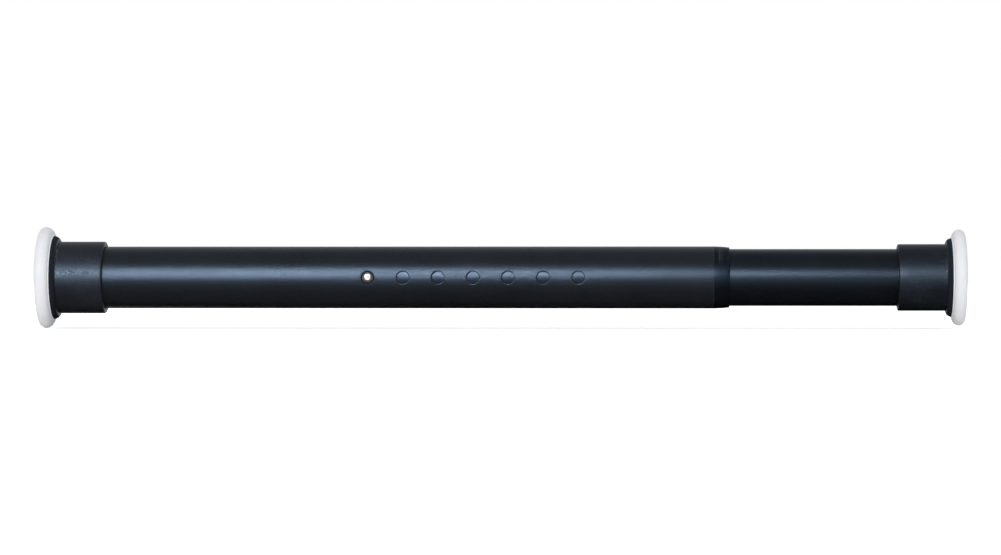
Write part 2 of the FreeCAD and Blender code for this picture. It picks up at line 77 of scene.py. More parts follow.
# The first lock hole is measured from the tube's left end, and the button stands in it
FIRST_HOLE = 159.5
HOLE_PITCH = 18.0
HOLE_COUNT = 7
BUTTON_X = TUBE_LEFT + FIRST_HOLE
BUTTON_PROUD = 0.6
BUTTON_TOP = OUTER_R + BUTTON_PROUD
BUTTON_HEAD = 13.26

# The sockets' boss, which snaps into a recess of the pad, and their floor, from the flange's plane
BOSS_HEIGHT = 4.0
BOSS_STEP = 2.2
BOSS_R = 14.0
NECK_R = 13.2
WELL_R = 6.3
WELL_FLOOR = 0.4
CUP_FLOOR = 3.0

# Forms that are finer here than in the solids: eased lock holes, the sockets' bead and mouth, the pads' lip
# and the moulding seam round the pads' rim
HOLE_R = 3.25
HOLE_EASE = 0.45
BEAD = 2.9
MOUTH_EASE = 0.9
LIP = 0.45
SEAM = ((-0.13, 0.005), (-0.05, 0.045), (0.05, 0.045), (0.13, 0.005))

# The pads' full-round rim, and their grooves: radius of the first, pitch, half width, depth and eased edge
RIM_R = 2.85
GROOVE_FIRST = 8.0
GROOVE_PITCH = 4.0
GROOVE_HALF = 0.6
GROOVE_DEPTH = 0.55
GROOVE_EDGE = 0.05

# The button's outline, as distances down from its top or from its head's shoulder, with the radius at each
DIMPLE = ((0.05, 0), (0.06, 0.08), (0.12, 0.18), (0.13, 0.30), (0.09, 0.42), (0.02, 0.53), (0, 0.64))
DOME = ((0.003, 1.1), (0.02, 1.42), (0.06, 1.60), (0.13, 1.76), (0.24, 1.94), (0.40, 2.18), (0.58, 2.42))
FOOT = ((0, 3.0), (0, 4.2), (1.2, 4.2), (1.2, 1.8), (1.8, 1.8), (1.8, 2.8), (2.35, 2.6), (2.6, 2.1),
        (2.6, 0))

# Divisions of the meshes round their axis, and the angle in degrees above which an edge stays sharp
SEGMENTS = 192
TUBE_SEGMENTS = 256
SMALL_SEGMENTS = 96
SHARP_ANGLE = 32


# Geometry helpers

def arc(cx, cr, radius, start, end, steps):
    """Points of an arc in (x, r), in millimetres, angles in degrees from +x towards +r."""
    points = []
    for k in range(steps + 1):
        a = math.radians(start + (end - start) * k / steps)
        points.append((cx + radius * math.cos(a), cr + radius * math.sin(a)))
    return points


def rounded(points, steps=6):
    """A closed outline with eased corners: each point is (x, r) or, to be eased, (x, r, radius)."""
    out = []
    count = len(points)
    for k, point in enumerate(points):
        if len(point) == 2:
            out.append(point)
            continue
        here = Vector(point[:2])
        before = Vector(points[k - 1][:2])
        after = Vector(points[(k + 1) % count][:2])
        a = (before - here).normalized()
        b = (after - here).normalized()
        half = a.angle(b) / 2
        reach = point[2] / math.tan(half)
        centre = here + (a + b).normalized() * (point[2] / math.sin(half))
        start = here + a * reach - centre
        end = here + b * reach - centre
        turn = start.angle(end)
        sign = 1 if start.x * end.y - start.y * end.x > 0 else -1
        for i in range(steps + 1):
            t = sign * turn * i / steps
            spun = Vector((start.x * math.cos(t) - start.y * math.sin(t),
                           start.x * math.sin(t) + start.y * math.cos(t)))
            out.append(tuple(centre + spun))
    return out


def mesh_object(bm, name):
    """A new object in the scene made of a bmesh, which is used up."""
    mesh = bpy.data.meshes.new(name)
    bm.to_mesh(mesh)
    bm.free()
    obj = bpy.data.objects.new(name, mesh)
    bpy.context.scene.collection.objects.link(obj)
    return obj


def shade(mesh):
    """Smooth shading, broken at the sharp edges."""
    for polygon in mesh.polygons:
        polygon.use_smooth = True
    mesh.set_sharp_from_angle(angle=math.radians(SHARP_ANGLE))


def lathe(name, profile, segments=SEGMENTS):
    """Mesh turned about the rod's axis from a closed outline of (x, r) in millimetres."""
    bm = bmesh.new()
    rings = []
    for x, r in profile:
        if r < 1e-6:
            rings.append([bm.verts.new((x * MM, 0, 0))] * segments)
            continue
        ring = []
        for k in range(segments):
            a = 2 * math.pi * k / segments
            ring.append(bm.verts.new((x * MM, r * MM * math.cos(a), r * MM * math.sin(a))))
        rings.append(ring)
    for i, first in enumerate(rings):
        second = rings[(i + 1) % len(rings)]
        for k in range(segments):
            after = (k + 1) % segments
            corners = list(dict.fromkeys((first[k], first[after], second[after], second[k])))
            if len(corners) > 2:
                bm.faces.new(corners)
    bmesh.ops.remove_doubles(bm, verts=bm.verts, dist=1e-8)
    bmesh.ops.recalc_face_normals(bm, faces=bm.faces)
    obj = mesh_object(bm, name)
    shade(obj.data)
    return obj


def put(obj, body, node, material):
    """The piece stands for a node, rides its body and takes its material."""
    obj.data.materials.clear()
    obj.data.materials.append(material)
    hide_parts(node)
    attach(obj, body)


# Node helpers

class Nodes:
    """A node tree, with short ways to add what the looks below share. Its lengths are in metres."""

    def __init__(self, tree, place="Object"):
        self.tree = tree
        self.place = self.add("ShaderNodeTexCoord").outputs[place]

    def add(self, kind, **values):
        """A new node with the given settings."""
        node = self.tree.nodes.new(kind)
        for key, value in values.items():
            setattr(node, key, value)
        return node

    def link(self, a, b):
        """Joins an output to an input."""
        self.tree.links.new(a, b)

    def feed(self, socket, value):
        """Sets an input to a number, or joins an output to it."""
        if isinstance(value, (int, float)):
            socket.default_value = value
        else:
            self.link(value, socket)

    def stretched(self, scale, turn=0):
        """The place on the object, turned about Y and scaled along each axis."""
        node = self.add("ShaderNodeMapping")
        node.inputs["Rotation"].default_value = (0, turn, 0)
        node.inputs["Scale"].default_value = scale
        self.link(self.place, node.inputs["Vector"])
        return node.outputs["Vector"]

    def noise(self, scale, detail=2.0, rough=0.5, vector=None):
        """Soft random variation, from 0 to 1."""
        node = self.add("ShaderNodeTexNoise")
        node.inputs["Scale"].default_value = scale
        node.inputs["Detail"].default_value = detail
        node.inputs["Roughness"].default_value = rough
        self.link(vector or self.place, node.inputs["Vector"])
        return node.outputs["Fac"]

    def cells(self, scale, smooth):
        """Rounded cells, 0 at the middle of each."""
        node = self.add("ShaderNodeTexVoronoi", feature="SMOOTH_F1")
        node.inputs["Scale"].default_value = scale
        node.inputs["Smoothness"].default_value = smooth
        self.link(self.place, node.inputs["Vector"])
        return node.outputs["Distance"]

    def spread(self, value, low, high, to_low, to_high):
        """The value from low to high, mapped to go from to_low to to_high, and held at both ends."""
        node = self.add("ShaderNodeMapRange")
        self.link(value, node.inputs["Value"])
        limits = (("From Min", low), ("From Max", high), ("To Min", to_low), ("To Max", to_high))
        for key, number in limits:
            node.inputs[key].default_value = number
        return node.outputs["Result"]

    def math(self, operation, *values):
        """One sum on numbers or outputs."""
        node = self.add("ShaderNodeMath", operation=operation)
        for socket, value in zip(node.inputs, values):
            self.feed(socket, value)
        return node.outputs[0]

    def times(self, a, b):
        """Product of two values."""
        return self.math("MULTIPLY", a, b)

    def axis(self, name):
        """One coordinate of the place."""
        node = self.add("ShaderNodeSeparateXYZ")
        self.link(self.place, node.inputs[0])
        return node.outputs[name]

    def hypot(self, a, b):
        """Length whose two parts are a and b."""
        return self.math("SQRT", self.math("ADD", self.times(a, a), self.times(b, b)))

    def near(self, value, centre, full, none, strength=1):
        """The strength where the value is within full of the centre, falling to 0 where it is none away."""
        away = self.math("ABSOLUTE", self.math("SUBTRACT", value, centre))
        return self.spread(away, full, none, strength, 0)

    def from_button(self):
        """Distance from the lock button's middle line."""
        return self.hypot(self.math("SUBTRACT", self.axis("X"), BUTTON_X * MM), self.axis("Z"))

    def front(self, depth):
        """1 on the rod's front, where it stands further than the depth from the axis, and 0 elsewhere."""
        return self.spread(self.axis("Y"), -depth, 0.0001 - depth, 1, 0)

    def blend(self, fac, a, b):
        """Mix of two colours, each a tuple or an output."""
        node = self.add("ShaderNodeMix", data_type="RGBA")
        self.feed(node.inputs["Factor"], fac)
        for key, value in (("A", a), ("B", b)):
            socket = [s for s in node.inputs if s.name == key and s.type == "RGBA"][0]
            if isinstance(value, tuple):
                socket.default_value = (*value, 1)
            else:
                self.link(value, socket)
        return [s for s in node.outputs if s.type == "RGBA"][0]

    def cloudy(self, cloud, dark, light):
        """Colour that drifts between two with a noise."""
        return self.blend(self.spread(cloud, 0.3, 0.7, 0, 1), dark, light)


class Finish(Nodes):
    """A material of one shader, whose colour, roughness and bump come from nodes."""

    def __init__(self, name):
        self.material = bpy.data.materials.new(name)
        self.material.use_nodes = True
        super().__init__(self.material.node_tree)
        self.shader = self.tree.nodes["Principled BSDF"]

    def fixed(self, **values):
        """Sets values that are the same all over the surface."""
        for key, value in values.items():
            self.shader.inputs[key.replace("_", " ")].default_value = value

    def current(self, name):
        """What feeds one of the shader's inputs so far."""
        return self.shader.inputs[name].links[0].from_socket

    def colour(self, value):
        """Gives the shader its colour."""
        self.link(value, self.shader.inputs["Base Color"])

    def rough(self, value):
        """Gives the shader its roughness."""
        self.link(value, self.shader.inputs["Roughness"])

    def bump(self, height, strength, distance):
        """Adds relief over the relief that is there."""
        node = self.add("ShaderNodeBump")
        node.inputs["Strength"].default_value = strength
        node.inputs["Distance"].default_value = distance
        self.link(height, node.inputs["Height"])
        before = self.shader.inputs["Normal"].links
        if before:
            self.link(before[0].from_socket, node.inputs["Normal"])
        self.link(node.outputs["Normal"], self.shader.inputs["Normal"])


# Materials

COAT_SHEEN = (0.50, 0.70, 1.0, 1)
SOCKET_SHEEN = (0.52, 0.72, 1.0, 1)
COLLAR_SHEEN = (0.42, 0.64, 1.0, 1)
WORN_COAT = (0.085, 0.088, 0.092)
RUBBED_COAT = (0.014, 0.015, 0.018)
# Painted shade for the gap round the lock button
BUTTON_GAP_SHADE = (0.0035, 0.0033, 0.0030)
SOCKET_SCUFF = (0.030, 0.031, 0.035)
FLANGE_SHADE = (0.0050, 0.0030, 0.0018)
PALE_DUST = (0.17, 0.18, 0.19)
COLLAR_RUB = (0.034, 0.037, 0.046)
RUBBER_MARK = (0.60, 0.59, 0.575)
# Marks on top of the collar: millimetres from the tube's end, and strength
COLLAR_MARKS = ((2.8, 1.0), (4.3, 0.6))
# Radius in metres of the worn ring round each lock hole, and of the painted shade round the button on each
# tube
WORN_RING_R = 0.0034
OUTER_GAP_SHADE_R = 0.0036
INNER_GAP_SHADE_R = 0.0046


def powder_coat(name, dark, light, rough_low, rough_high, grain):
    """Fine textured powder coat over steel tube, slightly cloudy. Its grain is a height in metres."""
    n = Finish(name)
    cloud = n.noise(38, 3, 0.55)
    fine = n.cells(2900, 0.35)
    base = n.blend(n.spread(cloud, 0.35, 0.65, 0, 1), dark, light)
    n.colour(n.blend(n.spread(fine, 0.30, 0.65, 0, 0.5), base, tuple(1.8 * c for c in light)))
    mixed = n.math("MULTIPLY_ADD", fine, 0.6, n.times(cloud, 0.4))
    n.rough(n.spread(mixed, 0.3, 0.7, rough_low, rough_high))
    n.fixed(Specular_IOR_Level=1.0, Specular_Tint=COAT_SHEEN, IOR=1.55)
    n.bump(n.noise(240, 2, 0.5), 0.12, 0.00005)
    n.bump(fine, 1.0, grain)
    return n


def button_gap_shade(n, radius):
    """Painted shade: the coat within the radius of the lock button's middle line, on the front of a tube,
    made dark and dull for the shadow in the gap round the button.
    """
    coated = n.current("Base Color")
    satin = n.current("Roughness")
    round_button = n.spread(n.from_button(), radius - 0.00015, radius + 0.00015, 1, 0)
    gap_shade = n.times(round_button, n.front(0.0130))
    n.colour(n.blend(gap_shade, coated, BUTTON_GAP_SHADE))
    n.rough(n.math("MAXIMUM", satin, n.times(gap_shade, 0.9)))


def outer_coat():
    """Powder coat of the outer tube, worn at its end beside the collar and round the lock holes."""
    n = powder_coat("black_powder_coat", (0.0080, 0.0080, 0.0086), (0.0105, 0.0108, 0.0118),
                    0.27, 0.34, 0.000061)
    base = n.current("Base Color")
    x = n.axis("X")
    broken = n.spread(n.noise(330, 3, 0.6, n.stretched((0.2, 1, 1))), 0.47, 0.60, 0, 1)
    end = n.times(n.near(x, TUBE_END * MM, 0.00012, 0.00034), broken)
    half_pitch = HOLE_PITCH / 2 * MM
    from_row = n.math("SUBTRACT", x, BUTTON_X * MM - half_pitch)
    along = n.math("SUBTRACT", n.math("PINGPONG", from_row, half_pitch), half_pitch)
    edge = n.near(n.hypot(along, n.axis("Z")), WORN_RING_R, 0.00010, 0.00030)
    row_middle = BUTTON_X * MM + half_pitch * (HOLE_COUNT - 1)
    in_row = n.math("COMPARE", x, row_middle, half_pitch * HOLE_COUNT)
    patchy = n.spread(n.noise(420, 2), 0.42, 0.62, 0, 0.3)
    hole = n.times(n.times(edge, n.times(n.front(0.0150), in_row)), patchy)
    n.colour(n.blend(n.math("MAXIMUM", n.times(end, 0.5), hole), base, WORN_COAT))
    # Painted shade in the gap round the lock button
    button_gap_shade(n, OUTER_GAP_SHADE_R)
    return n.material


def inner_coat():
    """Powder coat of the inner tube, finer, faintly rubbed along its length. Its colour is painted darker
    than the outer tube's, painted shade for the dimmer light at the rod's right end.
    """
    n = powder_coat("black_powder_coat_inner", (0.0030, 0.0031, 0.0036), (0.0046, 0.0050, 0.0060),
                    0.27, 0.33, 0.000039)
    rub = n.noise(500, 3, 0.6, n.stretched((0.03, 1, 1)))
    n.colour(n.blend(n.spread(rub, 0.58, 0.80, 0, 0.12), n.current("Base Color"), RUBBED_COAT))
    # Painted shade in the gap round the lock button
    button_gap_shade(n, INNER_GAP_SHADE_R)
    return n.material


def socket_black(name, corner_x, side, dark, light):
    """Rubbery black moulding: satin, faint scuffs, pale dust caught in the corner at the flange, and
    painted shade on the flange's bead.
    """
    n = Finish(name)
    cloud = n.noise(46, 4, 0.6)
    base = n.cloudy(cloud, dark, light)
    scratch = n.noise(1500, 4, 0.65, n.stretched((0.55, 1, 1), 0.75))
    patch = n.spread(n.noise(70, 3, 0.6), 0.42, 0.58, 0, 1)
    scuff = n.times(n.spread(scratch, 0.46, 0.62, 0, 1), patch)
    base = n.blend(n.times(scuff, 0.3), base, SOCKET_SCUFF)
    along = n.times(n.math("SUBTRACT", n.axis("X"), corner_x * MM), side)
    # Painted shade: the flange's bead is coloured darker where its face turns away from the light, and made
    # rougher
    flange = n.spread(along, -0.0006, -0.0002, 1, 0)
    base = n.blend(flange, base, FLANGE_SHADE)
    specks = n.spread(n.noise(1700, 2, 0.5), 0.55, 0.64, 0, 1)
    corner = n.near(along, 0.0002, 0.0003, 0.0009)
    uneven = n.spread(n.noise(150, 2), 0.36, 0.52, 0.35, 0.8)
    upper = n.spread(n.axis("Z"), -0.006, 0.002, 0.12, 1)
    dust = n.times(n.times(n.times(specks, corner), uneven), upper)
    n.colour(n.blend(dust, base, PALE_DUST))
    wear = n.math("ADD", n.times(cloud, 0.35), n.times(scuff, 0.5))
    satin = n.spread(wear, 0.05, 0.75, 0.35, 0.56)
    n.rough(n.math("MAXIMUM", satin, n.times(flange, 0.95)))
    n.fixed(Specular_IOR_Level=1.0, Specular_Tint=SOCKET_SHEEN)
    n.bump(n.noise(90, 3, 0.5), 0.10, 0.0002)
    n.bump(n.noise(800, 3, 0.6), 0.35, 0.00005)
    n.bump(scuff, 0.6, 0.00003)
    return n.material


def collar_black():
    """Smooth satin moulding of the collar, with faint draw lines round it and two rubbed marks on top."""
    n = Finish("black_bush")
    cloud = n.noise(70, 3, 0.5)
    base = n.cloudy(cloud, (0.0022, 0.0022, 0.0026), (0.0038, 0.0040, 0.0046))
    streak = n.spread(n.noise(60, 2, 0.5, n.stretched((12, 1, 1))), 0.46, 0.60, 0, 0.25)
    for along, strength in COLLAR_MARKS:
        mark = n.near(n.axis("X"), (TUBE_END + along) * MM, 0.0001, 0.0008, strength)
        streak = n.math("MAXIMUM", streak, mark)
    streak = n.times(streak, n.spread(n.noise(110, 3, 0.6), 0.35, 0.60, 0.5, 1))
    streak = n.times(streak, n.spread(n.axis("Z"), 0.007, 0.0095, 0.05, 1))
    n.colour(n.blend(streak, base, COLLAR_RUB))
    n.rough(n.spread(cloud, 0.3, 0.7, 0.37, 0.43))
    n.fixed(Specular_IOR_Level=0.66, Specular_Tint=COLLAR_SHEEN)
    n.bump(n.noise(260, 2, 0.5, n.stretched((8, 1, 1))), 0.05, 0.00005)
    n.bump(n.noise(120, 2, 0.5), 0.06, 0.0001)
    return n.material


def white_rubber():
    """Soft white rubber: matt satin skin, slightly cool, with a trace of handling marks."""
    n = Finish("white_rubber")
    cloud = n.noise(30, 3, 0.5)
    base = n.cloudy(cloud, (0.775, 0.780, 0.800), (0.800, 0.804, 0.822))
    mark = n.spread(n.noise(170, 4, 0.6, n.stretched((1.6, 1, 1))), 0.66, 0.80, 0, 0.16)
    n.colour(n.blend(mark, base, RUBBER_MARK))
    n.rough(n.spread(cloud, 0.3, 0.7, 0.50, 0.60))
    n.fixed(Specular_IOR_Level=0.22, Subsurface_Weight=0.12, Subsurface_Scale=0.003)
    n.bump(n.noise(700, 2, 0.5), 0.06, 0.00004)
    n.bump(n.noise(55, 2, 0.5), 0.10, 0.00015)
    return n.material


def plated(name, colour, rough):
    """Bright or ground metal with fine tool marks and slight staining."""
    n = Finish(name)
    stain = n.noise(160, 4, 0.6)
    darker = tuple(0.72 * c for c in colour)
    n.colour(n.blend(n.spread(stain, 0.42, 0.72, 0, 0.7), colour, darker))
    fine = n.noise(900, 3, 0.6, n.stretched((1, 0.15, 1)))
    n.rough(n.spread(fine, 0.3, 0.7, rough * 0.8, rough * 1.3))
    n.fixed(Metallic=1.0)
    n.bump(fine, 0.12, 0.00002)
    return n.material


def button_steel():
    """Button turned from bright steel: polished top, its shoulder dulled and browned by handling, and
    painted shade darkening its rolled rim where it meets the hole.
    """
    n = Finish("button_steel")
    out = n.from_button()
    stain = n.noise(700, 4, 0.6)
    shoulder = n.spread(n.math("MULTIPLY_ADD", stain, 0.0005, out), 0.0018, 0.0021, 0, 1)
    low = n.spread(n.axis("Z"), -0.0024, 0.0004, 1, 0)
    dull = n.blend(low, (0.48, 0.49, 0.485), (0.84, 0.66, 0.58))
    bright = n.blend(n.spread(stain, 0.4, 0.7, 0, 0.5), (0.74, 0.74, 0.73), (0.55, 0.54, 0.52))
    # Painted shade: the rolled rim where the button meets the hole is coloured dark
    edge_shade = n.spread(out, 0.0026, 0.0030, 0, 1)
    n.colour(n.blend(shoulder, bright, n.blend(edge_shade, dull, (0.14, 0.12, 0.105))))
    n.rough(n.math("MULTIPLY_ADD", stain, 0.10, n.spread(shoulder, 0, 1, 0.28, 0.44)))
    n.fixed(Metallic=1.0)
    turned = n.math("SINE", n.times(out, 26000))
    n.bump(turned, 0.06, 0.00001)
    n.bump(n.noise(2400, 2, 0.5), 0.2, 0.00001)
    return n.material


def nylon(name, light, dark):
    """Moulded nylon of the inner plugs."""
    n = Finish(name)
    n.colour(n.cloudy(n.noise(60, 3, 0.5), dark, light))
    n.rough(n.spread(n.noise(400, 2), 0.3, 0.7, 0.38, 0.52))
    n.fixed(Specular_IOR_Level=0.5)
    n.bump(n.noise(500, 2), 0.08, 0.00005)
    return n.material


def black_rubber():
    """Matt black rubber of the stop ring."""
    n = Finish("black_rubber")
    n.colour(n.blend(n.noise(120, 3), (0.008, 0.008, 0.009), (0.016, 0.016, 0.017)))
    n.rough(n.spread(n.noise(300, 2), 0.3, 0.7, 0.55, 0.75))
    n.bump(n.noise(500, 3), 0.2, 0.00006)
    return n.material


# Shapes of the pieces

def socket_outline(flange_r, rise, wall, length, hole_r):
    """Outline of a socket from its flange's plane: boss, bead flange, cup and screw hole."""
    body_r = flange_r - rise
    cup_r = body_r - wall
    bead = []
    for k in range(1, 15):
        a = math.pi / 2 * k / 14
        bead.append((BEAD * math.sin(a), body_r + rise * math.cos(a)))
    return rounded([
        (WELL_FLOOR, hole_r), (WELL_FLOOR, WELL_R), (-BOSS_HEIGHT, WELL_R), (-BOSS_HEIGHT, BOSS_R, 0.5),
        (-BOSS_STEP, BOSS_R), (-BOSS_STEP, NECK_R), (0, NECK_R), (0, flange_r - 0.25),
        (0.1, flange_r - 0.06), *bead, (4.5, body_r), (9.0, body_r), (15.0, body_r), (21.0, body_r),
        (length, body_r, MOUTH_EASE), (length, cup_r, 0.15), (12.0, cup_r), (CUP_FLOOR, cup_r),
        (CUP_FLOOR, hole_r),
    ])


def pad_outline(thick, pad_r, flange_r):
    """Outline of a wall pad: grooved face, full-round rim with its seam, valley and lip at the flange."""
    face = -thick
    crest = face + RIM_R
    lip_in = flange_r + FIT
    lip_out = lip_in + LIP
    lip_back, valley, reach, ease = -0.40, 0.2, 0.12, 0.2
    # The rim's back is one arc, from its crest down to the valley beside the lip
    run, fall = lip_back - crest, pad_r - lip_out - valley
    back = (run ** 2 + fall ** 2) / (2 * fall)
    swing = math.degrees(math.atan2(run, back - fall))
    path = [(face, 0)]
    inside = GROOVE_FIRST
    while inside + 2 * GROOVE_HALF < pad_r - RIM_R:
        middle, outside = inside + GROOVE_HALF, inside + 2 * GROOVE_HALF
        path += [(face, inside - 0.1), (face + GROOVE_EDGE, inside)]
        for k in range(1, 8):
            a = math.pi * k / 8
            deep = GROOVE_EDGE + GROOVE_DEPTH * math.sin(a)
            path.append((face + deep, middle - GROOVE_HALF * math.cos(a)))
        path += [(face + GROOVE_EDGE, outside), (face, outside + 0.1)]
        inside += GROOVE_PITCH
    path += arc(crest, pad_r - RIM_R, RIM_R, 180, 94, 16)
    path += [(crest + x, pad_r + r) for x, r in SEAM]
    path += arc(crest, pad_r - back, back, 87, 90 - swing, 18)
    path += arc(lip_back + valley, lip_out + valley, valley, 180, 270, 5)[1:]
    path += arc(reach - ease, lip_out - ease, ease, 90, 0, 6)
    path += [(reach, lip_in + 0.1), (reach - 0.06, lip_in), (0, lip_in)]
    neck_r, recess_r = NECK_R + FIT, BOSS_R + FIT
    step, floor = FIT - BOSS_STEP, -FIT - BOSS_HEIGHT
    path += [(0, neck_r), (step, neck_r), (step, recess_r), (floor, recess_r), (floor, 0)]
    return path


def cap_skin(name, outline, plane, side):
    """Socket or pad turned from its outline, which is measured from the flange's plane."""
    return lathe(name, [(plane + side * x, r) for x, r in outline])


def hole_lip(bm, x):
    """Wall of one lock hole, its coat rolling over the outer edge: a closed ring let into the tube."""
    steps = 6
    section = [(HOLE_R + HOLE_EASE, OUTER_R - 0.3)]
    for k in range(steps + 1):
        a = math.pi / 2 * k / steps
        section.append((HOLE_R + HOLE_EASE * (1 - math.sin(a)), OUTER_R - HOLE_EASE * (1 - math.cos(a))))
    section += [(HOLE_R, OUTER_BORE), (HOLE_R + HOLE_EASE / 2, OUTER_BORE)]
    rings = []
    for r, skin in section:
        ring = []
        for k in range(SMALL_SEGMENTS):
            t = 2 * math.pi * k / SMALL_SEGMENTS
            z = r * math.sin(t)
            y = -math.sqrt(skin ** 2 - z ** 2)
            ring.append(bm.verts.new(((x + r * math.cos(t)) * MM, y * MM, z * MM)))
        rings.append(ring)
    for i, first in enumerate(rings):
        second = rings[(i + 1) % len(rings)]
        for k in range(SMALL_SEGMENTS):
            after = (k + 1) % SMALL_SEGMENTS
            bm.faces.new((first[k], first[after], second[after], second[k]))


def hole_cutter(x):
    """A short bar through the front wall of the tube, where a lock hole goes."""
    bm = bmesh.new()
    radius = (HOLE_R + HOLE_EASE) * MM
    bmesh.ops.create_cone(bm, cap_ends=True, segments=SMALL_SEGMENTS, radius1=radius, radius2=radius,
                          depth=12 * MM)
    for v in bm.verts:
        v.co = Vector((v.co.x + x * MM, -15.5 * MM - v.co.z, v.co.y))
    if bm.calc_volume(signed=True) < 0:
        bmesh.ops.reverse_faces(bm, faces=bm.faces)
    return mesh_object(bm, "hole_cutter")


def outer_tube_skin(material):
    """Outer tube: its two walls and ends as one skin, with the lock holes cut through the front."""
    body = lathe("outer_tube_skin", rounded([
        (TUBE_LEFT, OUTER_BORE), (TUBE_LEFT, OUTER_R, 0.1), (TUBE_END, OUTER_R, 0.12),
        (TUBE_END, OUTER_BORE),
    ]), TUBE_SEGMENTS)
    holes = [BUTTON_X + k * HOLE_PITCH for k in range(HOLE_COUNT)]
    cutters = [hole_cutter(x) for x in holes]
    for cutter in cutters:
        cut = body.modifiers.new(cutter.name, "BOOLEAN")
        cut.operation = "DIFFERENCE"
        cut.solver = "EXACT"
        cut.object = cutter
    done = bpy.data.meshes.new_from_object(body.evaluated_get(bpy.context.evaluated_depsgraph_get()))
    body.modifiers.clear()
    for cutter in cutters:
        bpy.data.objects.remove(cutter)
    whole = bmesh.new()
    for x in holes:
        hole_lip(whole, x)
    bmesh.ops.recalc_face_normals(whole, faces=whole.faces)
    whole.from_mesh(done)
    bmesh.ops.dissolve_degenerate(whole, edges=whole.edges, dist=1e-7)
    whole.to_mesh(done)
    whole.free()
    shade(done)
    body.data = done
    put(body, "outer", "outer_tube", material)


def inner_tube_skin(material):
    """Inner tube with eased ends."""
    body = lathe("inner_tube_skin", rounded([
        (INNER_LEFT, INNER_BORE), (INNER_LEFT, INNER_R, 0.1), (INNER_RIGHT, INNER_R, 0.1),
        (INNER_RIGHT, INNER_BORE),
    ]))
    put(body, "inner", "inner_tube", material)


def collar_skin(material):
    """Collar: a sleeve inside the outer tube, and a crown beyond it that narrows to its mouth."""
    body = lathe("tube_collar_skin", rounded([
        (COLLAR_LEFT, COLLAR_BORE, 0.1), (COLLAR_LEFT, SLEEVE_R, 0.1), (TUBE_END, SLEEVE_R),
        (TUBE_END, OUTER_R, 0.06), (TUBE_END + 2, 15.94), (TUBE_END + 4, 15.84), (TUBE_END + 6, 15.68),
        (COLLAR_MOUTH, 15.45, 0.28), (COLLAR_MOUTH, COLLAR_BORE, 0.08),
    ]))
    put(body, "outer", "tube_collar", material)


def button_skin(material):
    """Domed lock button with its small centre dimple."""
    profile = [(BUTTON_TOP - down, r) for down, r in DIMPLE + DOME]
    profile += arc(BUTTON_TOP - 1.357, 2.296, 0.704, 35, 90, 8)
    profile += [(BUTTON_HEAD - down, r) for down, r in FOOT]
    obj = lathe("lock_button_skin", profile, SMALL_SEGMENTS)
    for v in obj.data.vertices:
        x, y, z = v.co
        v.co = Vector((BUTTON_X * MM - y, -x, z))
    obj.data.flip_normals()
    put(obj, "button", "lock_button", material)


# The pieces

outer_tube_skin(outer_coat())
inner_tube_skin(inner_coat())
collar_skin(collar_black())

# The cap at each end. Its sign is the way that its cup points along the rod, its rise is how far its flange
# stands out from its cup, and its two colours are those of its black moulding, painted lighter on the left
# cap and
# darker on the right one: painted light and shade for the brighter light at the left end and the dimmer
# light at the right
CAPS = (
    {"side": "left", "body": "outer", "sign": 1, "rise": 2.95, "wall": 2.4, "hole_r": 2.2,
     "dark": (0.0130, 0.0124, 0.0142), "light": (0.0175, 0.0170, 0.0192)},
    {"side": "right", "body": "plunger", "sign": -1, "rise": 3.0, "wall": 2.15, "hole_r": 3.2,
     "dark": (0.0066, 0.0068, 0.0080), "light": (0.0100, 0.0102, 0.0118)},
)
for cap in CAPS:
    node, sign = cap["side"] + "_socket", cap["sign"]
    boss_end, mouth = span(node)[::sign]
    cap["plane"] = boss_end + sign * BOSS_HEIGHT
    cap["flange_r"] = outer_radius(node)
    length = abs(mouth - cap["plane"])
    outline = socket_outline(cap["flange_r"], cap["rise"], cap["wall"], length, cap["hole_r"])
    corner = cap["plane"] + sign * BEAD
    black = socket_black("black_socket_" + cap["side"], corner, sign, cap["dark"], cap["light"])
    skin = cap_skin(node + "_skin", outline, cap["plane"], sign)
    put(skin, cap["body"], node, black)
rubber = white_rubber()
for cap in CAPS:
    node, sign = cap["side"] + "_pad", cap["sign"]
    face = span(node)[::sign][0]
    outline = pad_outline(abs(face - cap["plane"]), outer_radius(node), cap["flange_r"])
    skin = cap_skin(node + "_skin", outline, cap["plane"], sign)
    put(skin, cap["body"], node, rubber)
button_skin(button_steel())

# The inner parts keep their solids and take a material each
zinc = plated("zinc_steel", (0.60, 0.61, 0.62), 0.28)
ground = plated("plain_steel", (0.46, 0.46, 0.47), 0.30)
sprung = plated("spring_steel", (0.30, 0.30, 0.32), 0.34)
natural = nylon("natural_nylon", (0.66, 0.64, 0.57), (0.58, 0.56, 0.49))
grey = nylon("grey_seat", (0.10, 0.105, 0.11), (0.07, 0.074, 0.08))
CARRIED = {
    "left_end_plug": natural, "inner_end_plug": natural, "plunger_guide": natural, "spring_seat": grey,
    "left_screw": zinc, "left_washer": zinc, "plunger_washer": zinc, "plunger_nut": zinc,
    "stop_washer": zinc, "spring_washer": zinc, "plunger_rod": ground, "seat_pins": ground,
    "button_spring": sprung, "compression_spring": sprung, "retaining_clips": sprung,
    "stop_ring": black_rubber(),
}
for node, material in CARRIED.items():
    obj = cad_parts[node]
    if not obj.material_slots:
        obj.data.materials.append(material)
    for place in obj.material_slots:
        place.material = material


# Floor, light and camera, in metres and watts

# Half the floor's side
FLOOR_SIZE = 14
FLOOR_PLACE = (0.24, 0, -0.0262)
FLAG_Z = -0.0260
FLAG_CORNERS = ((-0.9, -1.6), (1.3, -1.6), (1.3, 0.110), (-0.9, -0.055))
# The world's strength as light, and as it is mirrored from the camera's side and from behind the rod
WORLD_LIGHT = 0.78
MIRRORED_BEFORE = 0.09
MIRRORED_BEHIND = 0.62
CAMERA_ASIDE = 0.076
CAMERA_AWAY = 1.95
CAMERA_LENS = 136


